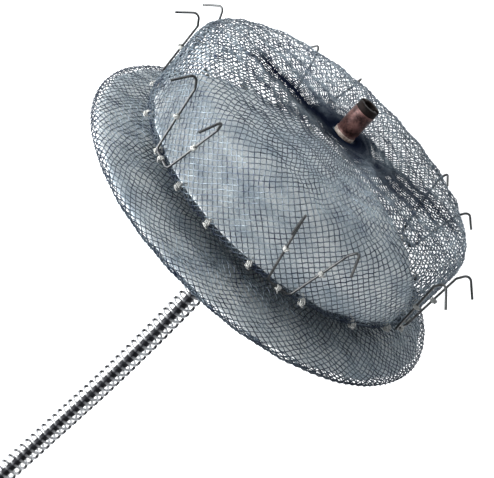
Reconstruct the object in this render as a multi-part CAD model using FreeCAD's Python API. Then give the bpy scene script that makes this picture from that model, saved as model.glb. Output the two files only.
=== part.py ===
import FreeCAD, Part
import math
import os

# Left atrial appendage occluder on its delivery cable: a braided disc and lobe, six hook wires that
# hold it in the appendage, a clamp at each end of the braid, and the cable that is screwed into the
# disc. Millimetres, +Z up. The implant is modelled upright about its own axis, with the middle of
# the disc's rim at 0,0,0, and then leant over, because it lies on the disc's rim and on its cable.

os.makedirs("parts", exist_ok=True)
Vector = FreeCAD.Vector

# Pose of the implant: how far its axis rises from the floor.
AXIS_RISE_DEG = 25.4

# Braid.
BRAID_WALL = 0.30
BRAID_COLUMNS = 24
CELL_DIP = 0.12
CELL_DIP_SHARE = 0.20
GAP_SHARE = 0.64
DISC_RADIUS = 17.0
RIM_HALF_THICKNESS = 0.36
RIM_TUCK = 0.25
DISC_BACK_DEPTH = 1.3
DISC_FRONT_HEIGHT = 1.7
DISC_BACK_POWER = 3
DISC_FRONT_POWER = 4
LOBE_BACK_POWER = 4
WAIST_RADIUS = 2.0
WAIST_LENGTH = 0.5
LOBE_RADIUS = 13.8
LOBE_LENGTH = 6.45
LOBE_BACK_RISE = 0.45
CORNER_TUCK = 0.25
CROWN_HEIGHT = 0.9
CROWN_DIP = 0.5
FOLD_DEPTH = 0.9
FOLD_WIDTH = 2.2

# Rows of braid crossings along each stretch of the profile.
DISC_BACK_ROWS = 6
DISC_FRONT_ROWS = 6
LOBE_BACK_ROWS = 3
LOBE_SIDE_ROWS = 5
LOBE_FRONT_ROWS = 6

# Fabric patches.
FABRIC_THICKNESS = 0.15
FABRIC_EDGE_GAP = 0.35
FABRIC_CLEARANCE = 0.10

# Clamps at the ends of the braid.
NECK_CLEARANCE = 0.03
NECK_LENGTH = 1.2
NECK_SHOULDER = 0.25
DISTAL_NECK_RADIUS = 0.65
DISTAL_CLAMP_RADIUS = 0.90
DISTAL_CLAMP_LENGTH = 3.3
DISTAL_SOCKET_RADIUS = 0.55
DISTAL_SOCKET_DEPTH = 1.3
DISTAL_SLOT_WIDTH = 0.45
DISTAL_SLOT_DEPTH = 0.55
END_SCREW_NECK_RADIUS = 0.90
END_SCREW_RADIUS = 1.20
END_SCREW_LENGTH = 3.2
END_SCREW_CHAMFER = 0.2
STUD_RADIUS = 0.60
STUD_LENGTH = 1.6
STUD_CLEARANCE = 0.04

# Hook wires. Each is one wire: hook, leg, base, leg, hook.
HOOK_WIRE_RADIUS = 0.10
HOOK_PAIR_ANGLES_DEG = (-6, 53, 107, 163, 224, 288)
HOOK_CLEARANCE = 0.06
HOOK_BASE_HEIGHT = 0.35
HOOK_BASE_SPREAD_DEG = 4.1
HOOK_LIFT_HEIGHT = 5.6
HOOK_APEX_HEIGHT = 6.6
HOOK_APEX_REACH = 0.70
HOOK_APEX_SPREAD_DEG = 9.5
HOOK_TIP_HEIGHT = 5.3
HOOK_TIP_REACH = 2.15
HOOK_BEND_RADIUS = 0.40
HOOK_BEND_CHORDS = 2
HOOK_WIRE_SIDES = 6

# Thread ties that hold the hook wires to the braid.
TIE_THREAD = 0.10
TIE_WIDTH = 0.34
TIE_CLEARANCE = 0.03
TIE_HEIGHT = 3.2

# Delivery cable. The route's points are its corners, from the tip to the put-away coil.
CABLE_RADIUS = 1.0
CABLE_TIP_RADIUS = 1.0
CABLE_TIP_LENGTH = 2.4
CABLE_FIRST_RUN = 10.0
CABLE_FLOOR_RUN = 10.0
CABLE_SWAY_DEG = 4.4
CABLE_ARC_SHARE = 0.45
COIL_COLUMNS = 5
COIL_LAYERS = 3
COIL_MIDDLE_RADIUS = 12.0
COIL_LEAD_CLEARANCE = 0.8
COIL_CHAMFER = 0.6
TAIL_MARGIN = 0.5
GRIP_RADIUS = 0.75
GRIP_LENGTH = 9.0

# Worked out from the sizes above.
RISE = math.radians(AXIS_RISE_DEG)
FLOOR = -DISC_RADIUS * math.cos(RISE)
HALF_WALL = BRAID_WALL / 2
WAIST_BACK = DISC_FRONT_HEIGHT
LOBE_BACK = WAIST_BACK + WAIST_LENGTH
LOBE_EDGE = LOBE_BACK + LOBE_BACK_RISE
LOBE_FRONT = LOBE_EDGE + LOBE_LENGTH
CLAMP_SEAT = LOBE_FRONT + CROWN_HEIGHT - CROWN_DIP
END_SCREW_SEAT = -DISC_BACK_DEPTH - HALF_WALL
LEAN = FreeCAD.Rotation(Vector(0, 1, 0), 90 - AXIS_RISE_DEG) * FreeCAD.Rotation(Vector(0, 0, 1), 90)


def polar(radius, angle_deg, height):
    """A point at a radius and an angle about the implant's axis."""
    angle = math.radians(angle_deg)
    return Vector(radius * math.cos(angle), radius * math.sin(angle), height)


def lean(shape):
    """Turns a piece from the implant's own upright frame to the way it lies."""
    turned = shape.copy()
    turned.Placement = FreeCAD.Placement(Vector(0, 0, 0), LEAN).multiply(turned.Placement)
    return turned


def steps(count):
    """Even shares from just above 0 up to 1."""
    return [(k + 1) / count for k in range(count)]


def disc_height(radius, middle_height, power):
    """Height of one layer of the disc above or below its rim, domed towards the middle."""
    share = radius / (DISC_RADIUS - HALF_WALL - RIM_TUCK)
    return RIM_HALF_THICKNESS + (middle_height - RIM_HALF_THICKNESS) * (1 - share ** power)


def lobe_front_height(radius):
    """The lobe's front: a low crown that dips again towards its clamp."""
    wave = math.sin(math.pi * radius / (LOBE_RADIUS - HALF_WALL - CORNER_TUCK))
    is_near_clamp = radius < LOBE_RADIUS / 2
    return LOBE_FRONT + CROWN_HEIGHT * (math.sqrt(wave) if is_near_clamp else wave)


def profile_stretches():
    """Middle of the braid's wall, stretch by stretch from the end screw to the front clamp."""
    neck_back = END_SCREW_NECK_RADIUS - HALF_WALL
    neck_front = DISTAL_NECK_RADIUS - HALF_WALL
    rim = DISC_RADIUS - HALF_WALL
    side = LOBE_RADIUS - HALF_WALL
    seat_back = END_SCREW_RADIUS + NECK_SHOULDER
    seat_front = DISTAL_CLAMP_RADIUS + NECK_SHOULDER
    disc_edge = rim - RIM_TUCK
    lobe_edge = side - CORNER_TUCK

    back_neck = [
        (neck_back, END_SCREW_SEAT - NECK_LENGTH),
        (neck_back, END_SCREW_SEAT),
        (seat_back, END_SCREW_SEAT),
    ]
    disc_back = []
    for share in steps(DISC_BACK_ROWS):
        radius = seat_back + (disc_edge - seat_back) * share
        disc_back.append((radius, -disc_height(radius, DISC_BACK_DEPTH, DISC_BACK_POWER)))
    disc_front = [(rim, 0.0), (disc_edge, RIM_HALF_THICKNESS)]
    for share in steps(DISC_FRONT_ROWS):
        radius = disc_edge - (disc_edge - WAIST_RADIUS) * share
        disc_front.append((radius, disc_height(radius, DISC_FRONT_HEIGHT, DISC_FRONT_POWER)))
    waist = [(WAIST_RADIUS - HALF_WALL, WAIST_BACK + WAIST_LENGTH / 2), (WAIST_RADIUS, LOBE_BACK)]
    lobe_back = []
    for share in steps(LOBE_BACK_ROWS):
        radius = WAIST_RADIUS + (lobe_edge - WAIST_RADIUS) * share
        lobe_back.append((radius, LOBE_BACK + LOBE_BACK_RISE * share ** LOBE_BACK_POWER))
    lobe_side = []
    for share in steps(LOBE_SIDE_ROWS):
        lobe_side.append((side, LOBE_EDGE + LOBE_LENGTH * (share - 0.5 / LOBE_SIDE_ROWS)))
    lobe_front = [(lobe_edge, LOBE_FRONT)]
    for share in steps(LOBE_FRONT_ROWS)[:-1]:
        radius = lobe_edge + (seat_front - lobe_edge) * share
        lobe_front.append((radius, lobe_front_height(radius)))
    lobe_front.append((seat_front, CLAMP_SEAT))
    front_neck = [(neck_front, CLAMP_SEAT), (neck_front, CLAMP_SEAT + NECK_LENGTH)]
    return back_neck, disc_back, disc_front, waist, lobe_back, lobe_side, lobe_front, front_neck


def fold_drop(point):
    """How far the lobe's front sinks along the fold that crosses it."""
    across = math.exp(-(point.y / FOLD_WIDTH) ** 2)
    radius = math.hypot(point.x, point.y)
    reach = math.sin(math.pi * min(radius / LOBE_RADIUS, 1.0)) ** 2
    return FOLD_DEPTH * across * reach


class BraidMesh:
    """Points and triangles of the braid's wall, by row and column of its crossings."""

    def __init__(self, rows, rim_row, folded_rows):
        self.rows = rows
        self.rim_row = rim_row
        self.folded_rows = folded_rows
        self.points = []
        self.index = {}
        self.triangles = []

    def row_normal(self, row):
        """Outward direction of the wall at a row, as (radius, height)."""
        before = self.rows[max(row - 1, 0)]
        after = self.rows[min(row + 1, len(self.rows) - 1)]
        along = (after[0] - before[0], after[1] - before[1])
        size = math.hypot(*along)
        return along[1] / size, -along[0] / size

    def is_between(self, row):
        """Whether a row's crossings lie half a column on from those of the disc's rim."""
        return (row - self.rim_row) % 2

    def angle(self, row, column):
        return 360.0 * (column + 0.5 * self.is_between(row)) / BRAID_COLUMNS

    def place(self, row, angle_deg, depth):
        """A point of a row, so far out from the middle of the wall."""
        radius, height = self.rows[row]
        normal = self.row_normal(row)
        point = polar(radius + normal[0] * depth, angle_deg, height + normal[1] * depth)
        if row in self.folded_rows:
            point.z -= fold_drop(point)
        return point

    def number(self, key, place):
        """The index of a named point, added once."""
        if key not in self.index:
            self.index[key] = len(self.points)
            self.points.append(place)
        return self.index[key]

    def corner(self, row, column, side):
        """A crossing on the outer (+1) or inner (-1) face of the wall."""
        column %= BRAID_COLUMNS
        key = ("corner", row, column, side)
        return self.number(key, self.place(row, self.angle(row, column), side * HALF_WALL))

    def face(self, side, a, b, c):
        """Adds a triangle, turned to point out of the wall."""
        self.triangles.append((a, b, c) if side > 0 else (a, c, b))

    def cell_corners(self, row, column, side):
        """The four crossings round a cell: bottom, right, top, left."""
        right = column + self.is_between(row)
        return [
            self.corner(row, column, side),
            self.corner(row + 1, right, side),
            self.corner(row + 2, column, side),
            self.corner(row + 1, right - 1, side),
        ]

    def closed_cell(self, row, column):
        """A cell that is sunk between the ridges on the outside and plain on the inside."""
        outer = self.cell_corners(row, column, 1)
        width = (self.points[outer[1]] - self.points[outer[3]]).Length
        depth = HALF_WALL - min(CELL_DIP, CELL_DIP_SHARE * width)
        middle = self.number(("middle", row, column), self.place(row + 1, self.angle(row, column), depth))
        for k in range(4):
            self.face(1, outer[k], outer[(k + 1) % 4], middle)
        bottom, right, top, left = self.cell_corners(row, column, -1)
        self.face(-1, bottom, right, left)
        self.face(-1, right, top, left)

    def open_cell(self, row, column):
        """A cell with a diamond gap right through the wall."""
        rims = []
        for side in (1, -1):
            corners = self.cell_corners(row, column, side)
            middle = self.place(row + 1, self.angle(row, column), side * HALF_WALL)
            rim = []
            for k in range(4):
                place = middle + (self.points[corners[k]] - middle) * GAP_SHARE
                rim.append(self.number(("gap", row, column, side, k), place))
            for k in range(4):
                after = (k + 1) % 4
                self.face(side, corners[k], corners[after], rim[after])
                self.face(side, corners[k], rim[after], rim[k])
            rims.append(rim)
        outer, inner = rims
        for k in range(4):
            after = (k + 1) % 4
            self.triangles.append((outer[k], outer[after], inner[after]))
            self.triangles.append((outer[k], inner[after], inner[k]))

    def close_end(self, row, inward):
        """The half cells beside an end row, and the ring that closes the wall there."""
        beside = row + inward
        for column in range(BRAID_COLUMNS):
            between = column + self.is_between(row)
            outer = [self.corner(row, column, 1), self.corner(row, column + 1, 1)]
            inner = [self.corner(row, column, -1), self.corner(row, column + 1, -1)]
            self.face(inward, outer[0], outer[1], self.corner(beside, between, 1))
            self.face(-inward, inner[0], inner[1], self.corner(beside, between, -1))
            self.face(-inward, outer[0], outer[1], inner[1])
            self.face(-inward, outer[0], inner[1], inner[0])

    def solid(self):
        shape = Part.Shape()
        shape.makeShapeFromMesh((self.points, self.triangles), 0.0005)
        solid = Part.Solid(Part.Shell(shape.Faces))
        if solid.Volume < 0:
            solid.reverse()
        return solid


def nitinol_braid():
    """The wall of the braid, ridged along its wires, with open cells round the lobe's side."""
    stretches = profile_stretches()
    rows = [row for stretch in stretches for row in stretch]
    side_start = sum(len(stretch) for stretch in stretches[:5])
    front_start = side_start + LOBE_SIDE_ROWS
    last = len(rows) - 1
    rim_row = sum(len(stretch) for stretch in stretches[:2])
    mesh = BraidMesh(rows, rim_row, range(front_start, last - 2))
    for row in range(last - 1):
        for column in range(BRAID_COLUMNS):
            if side_start <= row + 1 < front_start:
                mesh.open_cell(row, column)
            else:
                mesh.closed_cell(row, column)
    mesh.close_end(0, 1)
    mesh.close_end(last, -1)
    return lean(mesh.solid())


def disc_fabric():
    """The round patch that is sewn between the disc's two layers."""
    radius = DISC_RADIUS - FABRIC_EDGE_GAP - BRAID_WALL
    return lean(Part.makeCylinder(radius, FABRIC_THICKNESS, Vector(0, 0, 0)))


def lobe_fabric():
    """The round patch that is sewn inside the lobe's back face."""
    radius = LOBE_RADIUS - FABRIC_EDGE_GAP - BRAID_WALL
    base = LOBE_EDGE + HALF_WALL + FABRIC_CLEARANCE
    return lean(Part.makeCylinder(radius, FABRIC_THICKNESS, Vector(0, 0, base)))


def distal_end_clamp():
    """A small turned cup that grips the front end of the braid, with a slotted open end."""
    base = CLAMP_SEAT + HALF_WALL
    end = base + DISTAL_CLAMP_LENGTH
    body = Part.makeCylinder(DISTAL_CLAMP_RADIUS, DISTAL_CLAMP_LENGTH, Vector(0, 0, base))
    neck = Part.makeCylinder(DISTAL_NECK_RADIUS + NECK_CLEARANCE, NECK_LENGTH, Vector(0, 0, base))
    floor = Vector(0, 0, end - DISTAL_SOCKET_DEPTH)
    socket = Part.makeCylinder(DISTAL_SOCKET_RADIUS, DISTAL_SOCKET_DEPTH, floor)
    corner = Vector(-DISTAL_CLAMP_RADIUS, -DISTAL_SLOT_WIDTH / 2, end - DISTAL_SLOT_DEPTH)
    slot = Part.makeBox(2 * DISTAL_CLAMP_RADIUS, DISTAL_SLOT_WIDTH, DISTAL_SLOT_DEPTH, corner)
    return lean(body.cut(neck).cut(socket).cut(slot))


def proximal_end_screw():
    """The threaded clamp in the disc's back: it grips the braid and takes the cable's stud."""
    top = END_SCREW_SEAT - HALF_WALL
    back = top - END_SCREW_LENGTH
    body = Part.makeCylinder(END_SCREW_RADIUS, END_SCREW_LENGTH, Vector(0, 0, back))
    lower_edges = [edge for edge in body.Edges if edge.BoundBox.ZMax < back + END_SCREW_CHAMFER]
    body = body.makeChamfer(END_SCREW_CHAMFER, lower_edges)
    neck_base = Vector(0, 0, top - NECK_LENGTH)
    neck = Part.makeCylinder(END_SCREW_NECK_RADIUS + NECK_CLEARANCE, NECK_LENGTH, neck_base)
    bore_depth = STUD_LENGTH + STUD_CLEARANCE
    bore = Part.makeCylinder(STUD_RADIUS + STUD_CLEARANCE, bore_depth, Vector(0, 0, back))
    return lean(body.cut(neck).cut(bore))


def cable_screw_tip():
    """The cable's end fitting: a collar with a stud that is screwed into the implant."""
    seat = END_SCREW_SEAT - HALF_WALL - END_SCREW_LENGTH
    stud = Part.makeCylinder(STUD_RADIUS, STUD_LENGTH, Vector(0, 0, seat))
    collar = Part.makeCylinder(CABLE_TIP_RADIUS, CABLE_TIP_LENGTH, Vector(0, 0, seat - CABLE_TIP_LENGTH))
    return lean(stud.fuse(collar))


def hook_corners(pair_angle):
    """The corners of one hook wire, from tip to tip, in the implant's own frame."""
    on_side = LOBE_RADIUS + HOOK_CLEARANCE + HOOK_WIRE_RADIUS
    widening = (HOOK_APEX_SPREAD_DEG - HOOK_BASE_SPREAD_DEG) / HOOK_APEX_HEIGHT
    lift_spread = HOOK_BASE_SPREAD_DEG + widening * HOOK_LIFT_HEIGHT
    half = [
        (on_side, HOOK_BASE_SPREAD_DEG, HOOK_BASE_HEIGHT),
        (on_side, lift_spread, HOOK_LIFT_HEIGHT),
        (LOBE_RADIUS + HOOK_APEX_REACH, HOOK_APEX_SPREAD_DEG, HOOK_APEX_HEIGHT),
        (LOBE_RADIUS + HOOK_TIP_REACH, HOOK_APEX_SPREAD_DEG, HOOK_TIP_HEIGHT),
    ]
    left = [polar(r, pair_angle - spread, LOBE_EDGE + h) for r, spread, h in reversed(half)]
    right = [polar(r, pair_angle + spread, LOBE_EDGE + h) for r, spread, h in half]
    return left + right


def rounded_path(corners, radii):
    """Straight runs joined by tangent arcs, one radius for each inner corner."""
    edges = []
    start = corners[0]
    for k in range(1, len(corners) - 1):
        before = (corners[k - 1] - corners[k]).normalize()
        after = (corners[k + 1] - corners[k]).normalize()
        half_turn = (math.pi - before.getAngle(after)) / 2
        reach = radii[k - 1] * math.tan(half_turn)
        arc_start = corners[k] + before * reach
        arc_end = corners[k] + after * reach
        inward = (before + after).normalize()
        to_centre = radii[k - 1] / math.cos(half_turn)
        arc_middle = corners[k] + inward * (to_centre - radii[k - 1])
        edges.append(Part.LineSegment(start, arc_start).toShape())
        edges.append(Part.Arc(arc_start, arc_middle, arc_end).toShape())
        start = arc_end
    edges.append(Part.LineSegment(start, corners[-1]).toShape())
    return Part.Wire(edges)


def swept_round(path, radius, start, direction):
    """A round bar along a path."""
    section = Part.Wire([Part.makeCircle(radius, start, direction)])
    return path.makePipeShell([section], True, False)


def bent_points(corners, radius, chords):
    """The corners of a bent wire, with each bend broken into a few short straight chords."""
    points = [corners[0]]
    for k in range(1, len(corners) - 1):
        before = (corners[k - 1] - corners[k]).normalize()
        after = (corners[k + 1] - corners[k]).normalize()
        half_turn = (math.pi - before.getAngle(after)) / 2
        centre = corners[k] + (before + after).normalize() * (radius / math.cos(half_turn))
        arm = (corners[k] + before * radius * math.tan(half_turn)) - centre
        axis = before.cross(after)
        for step in range(chords + 1):
            turn = FreeCAD.Rotation(axis, -math.degrees(2 * half_turn) * step / chords)
            points.append(centre + turn.multVec(arm))
    points.append(corners[-1])
    return points


def hook_wire(pair_angle):
    """One stabilising wire, which lies on the lobe's side and ends in two hooks."""
    corners = hook_corners(pair_angle)
    points = bent_points(corners, HOOK_BEND_RADIUS, HOOK_BEND_CHORDS)
    along = (points[1] - points[0]).normalize()
    across = along.cross(polar(1, pair_angle, 0)).normalize()
    up = along.cross(across)
    rim = []
    for k in range(HOOK_WIRE_SIDES + 1):
        angle = 2 * math.pi * k / HOOK_WIRE_SIDES
        rim.append(points[0] + (across * math.cos(angle) + up * math.sin(angle)) * HOOK_WIRE_RADIUS)
    section = Part.makePolygon(rim)
    path = Part.makePolygon(points)
    return lean(path.makePipeShell([section], True, False, 1))


def tie_band(middle, along, outward):
    """A band of thread that is wound over the wire, with its two feet on the braid."""
    inner = HOOK_WIRE_RADIUS + TIE_CLEARANCE
    outer = inner + TIE_THREAD
    across = along.cross(outward).normalize()
    foot = -(HOOK_WIRE_RADIUS + HOOK_CLEARANCE - TIE_CLEARANCE)

    def arch(reach):
        corner = reach * math.tan(math.pi / 8)
        right = [(reach, foot), (reach, corner), (corner, reach)]
        left = [(-a, b) for a, b in reversed(right)]
        return [middle + across * a + outward * b - along * (TIE_WIDTH / 2) for a, b in right + left]

    outline = arch(outer) + list(reversed(arch(inner)))
    face = Part.Face(Part.makePolygon(outline + [outline[0]]))
    return face.extrude(along * TIE_WIDTH)


def suture_ties():
    """Thread ties at the middle of each wire's base and on each of its legs."""
    bands = []
    leg_share = (TIE_HEIGHT - HOOK_BASE_HEIGHT) / (HOOK_LIFT_HEIGHT - HOOK_BASE_HEIGHT)
    for pair_angle in HOOK_PAIR_ANGLES_DEG:
        corners = hook_corners(pair_angle)
        base_left, base_right = corners[3], corners[4]
        base_along = (base_right - base_left).normalize()
        bands.append(tie_band((base_left + base_right) * 0.5, base_along, polar(1, pair_angle, 0)))
        for low, high in ((corners[4], corners[5]), (corners[3], corners[2])):
            leg = high - low
            middle = low + leg * leg_share
            along = Vector(leg).normalize()
            outward = Vector(middle.x, middle.y, 0).normalize()
            outward = (outward - along * outward.dot(along)).normalize()
            bands.append(tie_band(middle, along, outward))
    return lean(Part.makeCompound(bands))


def cable_corners():
    """The cable's corners: out of the implant along its axis, down to the floor, then to the coil."""
    exit_distance = -(END_SCREW_SEAT - HALF_WALL - END_SCREW_LENGTH - CABLE_TIP_LENGTH)
    down_axis = -LEAN.multVec(Vector(0, 0, 1))
    start = down_axis * exit_distance
    turn = start + down_axis * CABLE_FIRST_RUN
    sway = FreeCAD.Rotation(Vector(0, 0, 1), -CABLE_SWAY_DEG)
    onward = sway.multVec(down_axis)
    level = sway.multVec(Vector(-1, 0, 0))
    landing = turn + onward * ((turn.z - FLOOR - CABLE_RADIUS) / math.sin(RISE))
    return [start, turn, landing, landing + level * CABLE_FLOOR_RUN], level


def delivery_cable_run():
    """The stretch of cable that shows: straight down to the floor and on to the coil."""
    corners, _ = cable_corners()
    radii = []
    for k in range(1, len(corners) - 1):
        before = corners[k - 1] - corners[k]
        after = corners[k + 1] - corners[k]
        half_turn = (math.pi - before.getAngle(after)) / 2
        shorter = min(before.Length, after.Length)
        radii.append(CABLE_ARC_SHARE * shorter / math.tan(half_turn))
    path = rounded_path(corners, radii)
    tube = swept_round(path, CABLE_RADIUS, corners[0], corners[1] - corners[0])
    expected = math.pi * CABLE_RADIUS ** 2 * path.Length
    print("cable arcs", [round(radius, 1) for radius in radii], "mm")
    print("cable run", round(path.Length, 1), "mm")
    print("volume over section times length", round(tube.Volume / expected, 4))
    return tube


def coil_lead_in():
    """How long the cable runs beside the coil before it is the outermost turn."""
    outside = COIL_MIDDLE_RADIUS + COIL_COLUMNS * CABLE_RADIUS
    return math.sqrt(outside ** 2 - (outside - 2 * CABLE_RADIUS) ** 2) + COIL_LEAD_CLEARANCE


def coil_centre():
    """The middle of the put-away coil, on the floor, and the place where its first turn starts."""
    corners, level = cable_corners()
    outer_turn = COIL_MIDDLE_RADIUS + (COIL_COLUMNS - 1) * CABLE_RADIUS
    first_turn = corners[-1] + level * coil_lead_in()
    inward = FreeCAD.Rotation(Vector(0, 0, 1), 90).multVec(level)
    centre = first_turn + inward * outer_turn
    return Vector(centre.x, centre.y, FLOOR), first_turn


def delivery_cable_coil():
    """The outer shape of the put-away turns, with the straight lead-in that meets the run."""
    centre, first_turn = coil_centre()
    corners, level = cable_corners()
    half_width = COIL_COLUMNS * CABLE_RADIUS
    height = COIL_LAYERS * 2 * CABLE_RADIUS
    ring = Part.makeCylinder(COIL_MIDDLE_RADIUS + half_width, height, centre)
    outer_edges = [edge for edge in ring.Edges if edge.BoundBox.ZLength < COIL_CHAMFER]
    ring = ring.makeChamfer(COIL_CHAMFER, outer_edges)
    ring = ring.cut(Part.makeCylinder(COIL_MIDDLE_RADIUS - half_width, height, centre))
    lead_in = Part.makeCylinder(CABLE_RADIUS, coil_lead_in(), corners[-1], level)
    return ring.fuse(lead_in)


def delivery_cable_tail():
    """The cable's free end, which crosses the coil, with a smooth end for a handle to grip."""
    centre, _ = coil_centre()
    inner_turn = COIL_MIDDLE_RADIUS - (COIL_COLUMNS - 1) * CABLE_RADIUS
    outside = COIL_MIDDLE_RADIUS + COIL_COLUMNS * CABLE_RADIUS
    over_coil = math.sqrt(outside ** 2 - inner_turn ** 2) + TAIL_MARGIN
    height = (2 * COIL_LAYERS + 1) * CABLE_RADIUS
    start = centre + Vector(0, inner_turn, height)
    way = Vector(-1, 0, 0)
    tail = Part.makeCylinder(CABLE_RADIUS, over_coil, start, way)
    return tail.fuse(Part.makeCylinder(GRIP_RADIUS, GRIP_LENGTH, start + way * over_coil, way))


def build_parts():
    parts = {
        "nitinol_braid": nitinol_braid(),
        "disc_fabric": disc_fabric(),
        "lobe_fabric": lobe_fabric(),
        "distal_end_clamp": distal_end_clamp(),
        "proximal_end_screw": proximal_end_screw(),
        "cable_screw_tip": cable_screw_tip(),
        "suture_ties": suture_ties(),
        "delivery_cable_run": delivery_cable_run(),
        "delivery_cable_coil": delivery_cable_coil(),
        "delivery_cable_tail": delivery_cable_tail(),
    }
    for number, pair_angle in enumerate(HOOK_PAIR_ANGLES_DEG, start=1):
        parts[f"hook_wire_{number}"] = hook_wire(pair_angle)
    return parts


for name, shape in build_parts().items():
    shape.exportStep(f"parts/{name}.step")
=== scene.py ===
import math

import bmesh
import bpy
import numpy as np
from mathutils import Matrix, Vector


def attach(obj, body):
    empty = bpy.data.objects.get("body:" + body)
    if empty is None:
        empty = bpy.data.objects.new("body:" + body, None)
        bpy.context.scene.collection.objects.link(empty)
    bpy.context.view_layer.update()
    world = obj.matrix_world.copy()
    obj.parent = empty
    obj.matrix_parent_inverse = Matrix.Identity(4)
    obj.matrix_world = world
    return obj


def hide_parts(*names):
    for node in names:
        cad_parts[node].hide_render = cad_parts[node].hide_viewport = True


# Looks of the left atrial appendage occluder and its delivery cable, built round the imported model.
# The implant's pieces are drawn upright about its own axis, in millimetres, with the middle of the
# disc's rim at 0,0,0, and are then leant over into the row frame, which is in metres. The cable is
# drawn in the row frame itself.

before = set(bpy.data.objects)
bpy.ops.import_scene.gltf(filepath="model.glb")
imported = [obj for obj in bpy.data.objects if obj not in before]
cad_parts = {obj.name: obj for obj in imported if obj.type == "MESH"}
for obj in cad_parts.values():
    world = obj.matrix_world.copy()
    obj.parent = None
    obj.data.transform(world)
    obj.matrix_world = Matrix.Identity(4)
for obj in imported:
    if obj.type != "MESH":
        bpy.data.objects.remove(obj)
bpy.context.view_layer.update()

# Sizes of the implant in millimetres, the same as in the part's source.
MM = 0.001
AXIS_RISE_DEG = 25.4
DISC_RADIUS = 17.0
HALF_WALL = 0.15
RIM_HALF_THICKNESS = 0.36
RIM_TUCK = 0.25
DISC_BACK_DEPTH = 1.3
DISC_FRONT_HEIGHT = 1.7
DISC_BACK_POWER = 3
DISC_FRONT_POWER = 4
LOBE_BACK_POWER = 4
WAIST_RADIUS = 2.0
WAIST_LENGTH = 0.5
LOBE_RADIUS = 13.8
LOBE_LENGTH = 6.45
LOBE_BACK_RISE = 0.45
CROWN_HEIGHT = 0.9
CLAMP_SEAT_RISE = 0.4
END_SCREW_LENGTH = 3.2
CABLE_TIP_LENGTH = 2.4

RISE = math.radians(AXIS_RISE_DEG)
FLOOR = -DISC_RADIUS * math.cos(RISE)
END_SCREW_SEAT = -DISC_BACK_DEPTH - HALF_WALL
WAIST_MIDDLE = DISC_FRONT_HEIGHT + WAIST_LENGTH / 2
LOBE_BACK = DISC_FRONT_HEIGHT + WAIST_LENGTH
LOBE_EDGE = LOBE_BACK + LOBE_BACK_RISE
LOBE_FRONT = LOBE_EDGE + LOBE_LENGTH
CLAMP_SEAT = LOBE_FRONT + CLAMP_SEAT_RISE
LEAN = Matrix.Rotation(math.pi / 2 - RISE, 4, "Y") @ Matrix.Rotation(math.pi / 2, 4, "Z")
TO_ROW_FRAME = LEAN @ Matrix.Scale(MM, 4)

# The braid's wires. At the steepness radius they would run level. A bundle is where they gather in
# a clamp, as radius and height above the clamp's seat.
WIRES_EACH_WAY = 144
WIRE_RADIUS = 0.043
WIRE_SIDES = 4
WEAVE_SHIFT = 0.046
STEEPNESS_RADIUS = 19.0
BACK_BUNDLE = ((0.75, -1.2), (0.75, -0.1), (0.95, 0.05))
FRONT_BUNDLE = ((0.75, 0.0), (0.52, 0.25), (0.50, 1.2))

# The braid's outline: the points that each stretch has, and how it goes round its corners.
DISC_STEPS = 16
LOBE_STEPS = 12
SIDE_STEPS = 5
BACK_START_RADIUS = 1.3
FRONT_END_RADIUS = 1.2
RIM_CLEARANCE = 0.05
LOBE_CORNER_INSET = 0.3
LOBE_CORNER_RISE = 0.35
SHOULDER_RADIUS = 1.3
SHOULDER_START = LOBE_FRONT + 0.3 - SHOULDER_RADIUS
SHOULDER_GAP = 0.5
CROWN_EDGE_INSET = 0.4
CROWN_POWER = 0.6
SEAT_SPREAD = 2.6

# The braid's unevenness, and how it calms down towards the edges and the clamps.
UNEVENNESS = 0.13
UNEVENNESS_SPAN = 2.6
EDGE_CALM_POWER = 12
LOBE_EDGE_CALM = 0.6
CALM_RADIUS = 1.5
CALM_BLEND = 2.0

# Folds across the lobe's front. Each runs out from the clamp at its own angle and gathers the wires
# beside it. Each has a painted shade on a band, whose middle lies off the fold's own line.
FOLDS = (
    {"angle_deg": 0, "depth": 0.55, "width": 0.70, "start": 0.2, "reach": 10.5, "gather": 0.55,
     "shade": 1.0, "shade_middle": 0.60, "shade_width": 1.75},
    {"angle_deg": -152, "depth": 0.45, "width": 1.8, "start": 2.0, "reach": 13.0, "gather": 0.10,
     "shade": 0.75, "shade_middle": -2.9, "shade_width": 2.4},
)
FOLD_START_BLEND = 1.2
FOLD_END_WIDTH = 0.35
GATHER_WIDTH = 1.6
BAND_FULLNESS = 1.6
BAND_FADE = 2.5
FRONT_BLEND = 1.5
BUNDLE_RADIUS = 0.8

# Painted shade on the braid's wires elsewhere: round the clamp, at the disc's rim and in the crease
# behind the lobe's back edge.
CLAMP_SHADE = 1.3
CLAMP_SHADE_RADIUS = 3.2
RIM_SHADE = 1.0
RIM_SHADE_WIDTH = 0.5
CREASE_SHADE = 0.95
CREASE_WIDTH = 1.6
CREASE_HEIGHT = LOBE_EDGE - 0.2
CREASE_DEPTH = 0.75

# Fabric patches, in millimetres.
DISC_PATCH_RADIUS = 16.35
DISC_PATCH_HEIGHT = 0.075
DISC_PATCH_PUCKER = 0.10
LOBE_PATCH_RADIUS = 13.15
LOBE_PATCH_HEIGHT = LOBE_EDGE + 0.325
LOBE_PATCH_PUCKER = 0.12
PATCH_THICKNESS = 0.12
PATCH_RINGS = 18
PATCH_DRAW_IN = 0.012
PATCH_RIPPLE = 0.05
EDGE_STITCHES = 20
SEGMENTS_PER_STITCH = 6

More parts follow.
